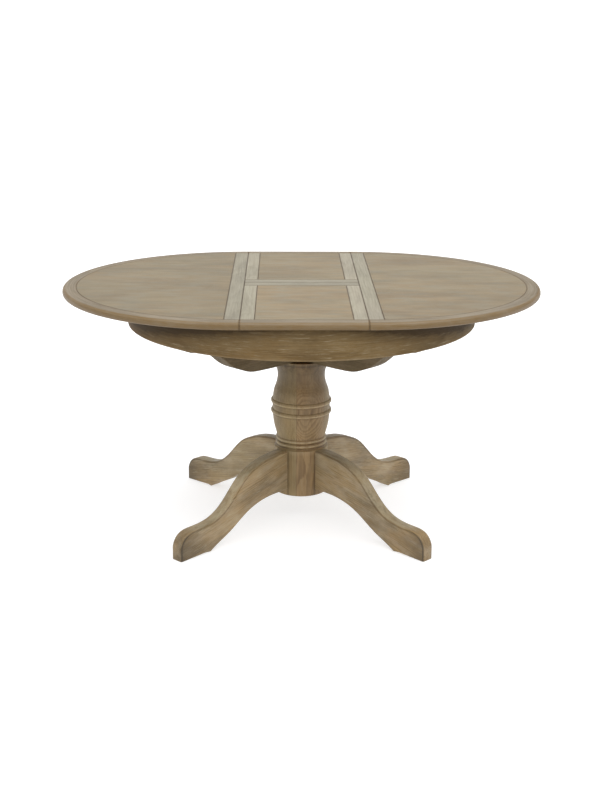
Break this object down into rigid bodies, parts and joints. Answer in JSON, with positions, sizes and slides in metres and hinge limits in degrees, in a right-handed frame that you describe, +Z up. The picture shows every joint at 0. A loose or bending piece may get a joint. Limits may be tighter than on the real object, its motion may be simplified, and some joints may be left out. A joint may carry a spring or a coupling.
{
  "type": "extending pedestal dining table",
  "caption": "Oval extending pedestal dining table: round top on a deep round apron, opened on its folding leaf, with a turned column and four S-shaped legs.",
  "frame": {"origin": "on the floor, under the middle of the column", "axes": "+Z up, +X along the length in which the table opens, +Y away from the picture's viewer"},
  "size_m": [1.4598, 1.108, 0.767],
  "materials": {
    "oak_top": "satin",
    "oak_trim": "satin",
    "oak_base": "satin",
    "oak_apron": "satin",
    "beech": "matte",
    "plywood": "matte",
    "steel": "satin",
    "nylon": "satin",
    "felt": "matte"
  },
  "bodies": {
    "base": {"column": "oak_base", "leg_front_left": "oak_base", "leg_front_right": "oak_base", "leg_rear_left": "oak_base", "leg_rear_right": "oak_base", "leg_bolts": "steel", "leg_nuts": "steel", "leg_washers": "steel", "leg_dowels": "beech", "foot_glides": "felt", "bearer_lower": "oak_base", "bearer_upper": "oak_base", "bearer_bolts": "steel", "guide_front": "beech", "guide_rear": "beech", "guide_screws": "steel", "cross_rail_left": "beech", "cross_rail_right": "beech", "store_floor": "plywood", "apron_front": "oak_apron", "apron_rear": "oak_apron", "apron_blocks": "beech", "apron_glides": "nylon", "gear_pins": "steel"},
    "left_half": {"left_field": "oak_top", "left_rim": "oak_trim", "left_stile": "oak_trim", "left_runner_front": "beech", "left_runner_rear": "beech", "left_racks": "nylon", "left_runner_screws": "steel", "left_lock_plates": "steel"},
    "right_half": {"right_field": "oak_top", "right_rim": "oak_trim", "right_stile": "oak_trim", "right_runner_front": "beech", "right_runner_rear": "beech", "right_racks": "nylon", "right_runner_screws": "steel", "right_lock_plates": "steel"},
    "pinion_front": {"pinion_front": "nylon"},
    "pinion_rear": {"pinion_rear": "nylon"},
    "lock_lever_front_left": {"lock_lever_front_left": "steel"},
    "lock_lever_front_right": {"lock_lever_front_right": "steel"},
    "lock_lever_rear_left": {"lock_lever_rear_left": "steel"},
    "lock_lever_rear_right": {"lock_lever_rear_right": "steel"},
    "leaf_rear": {"leaf_rear_field": "oak_top", "leaf_rear_outer_rail": "oak_trim", "leaf_rear_mid_rail": "oak_trim", "leaf_rear_stiles": "oak_trim", "leaf_rear_hinge_cups": "steel", "leaf_rear_strikers": "steel", "leaf_hinge_links": "steel"},
    "leaf_front": {"leaf_front_field": "oak_top", "leaf_front_outer_rail": "oak_trim", "leaf_front_mid_rail": "oak_trim", "leaf_front_stiles": "oak_trim", "leaf_front_hinge_cups": "steel", "leaf_front_strikers": "steel"}
  },
  "joints": [
    {"name": "left_slide", "type": "slide", "parent": "base", "child": "left_half", "axis": [-1, 0, 0], "range_m": [0, 0.03]},
    {"name": "right_slide", "type": "slide", "parent": "base", "child": "right_half", "axis": [1, 0, 0], "range_m": [0, 0.0301]},
    {"name": "pinion_front_spin", "type": "hinge", "parent": "base", "child": "pinion_front", "pos_m": [0, -0.32, 0.715], "axis": [0, 0, 1], "range_deg": [-96, 0]},
    {"name": "pinion_rear_spin", "type": "hinge", "parent": "base", "child": "pinion_rear", "pos_m": [0, 0.32, 0.715], "axis": [0, 0, 1], "range_deg": [-96, 0]},
    {"name": "leaf_lift", "type": "slide", "parent": "base", "child": "leaf_rear", "axis": [0, 0, 1], "range_m": [0, 0.3]},
    {"name": "leaf_fold", "type": "hinge", "parent": "leaf_rear", "child": "leaf_front", "pos_m": [0, 0, 0.76725], "axis": [-1, 0, 0], "range_deg": [0, 180]},
    {"name": "lock_lever_rear_right_swing", "type": "hinge", "parent": "right_half", "child": "lock_lever_rear_right", "pos_m": [0.202, 0.412, 0.741], "axis": [0, 0, 1], "range_deg": [-90, 0]},
    {"name": "lock_lever_front_right_swing", "type": "hinge", "parent": "right_half", "child": "lock_lever_front_right", "pos_m": [0.202, -0.412, 0.741], "axis": [0, 0, 1], "range_deg": [0, 90]},
    {"name": "lock_lever_front_left_swing", "type": "hinge", "parent": "left_half", "child": "lock_lever_front_left", "pos_m": [-0.202, -0.412, 0.741], "axis": [0, 0, 1], "range_deg": [-90, 0]},
    {"name": "lock_lever_rear_left_swing", "type": "hinge", "parent": "left_half", "child": "lock_lever_rear_left", "pos_m": [-0.202, 0.412, 0.741], "axis": [0, 0, 1], "range_deg": [0, 90]}
  ],
  "couplings": [
    {"joint": "right_slide", "follows": "left_slide", "ratio": 1},
    {"joint": "pinion_front_spin", "follows": "left_slide", "rad_per_m": -55.556},
    {"joint": "pinion_rear_spin", "follows": "left_slide", "rad_per_m": -55.556}
  ]
}
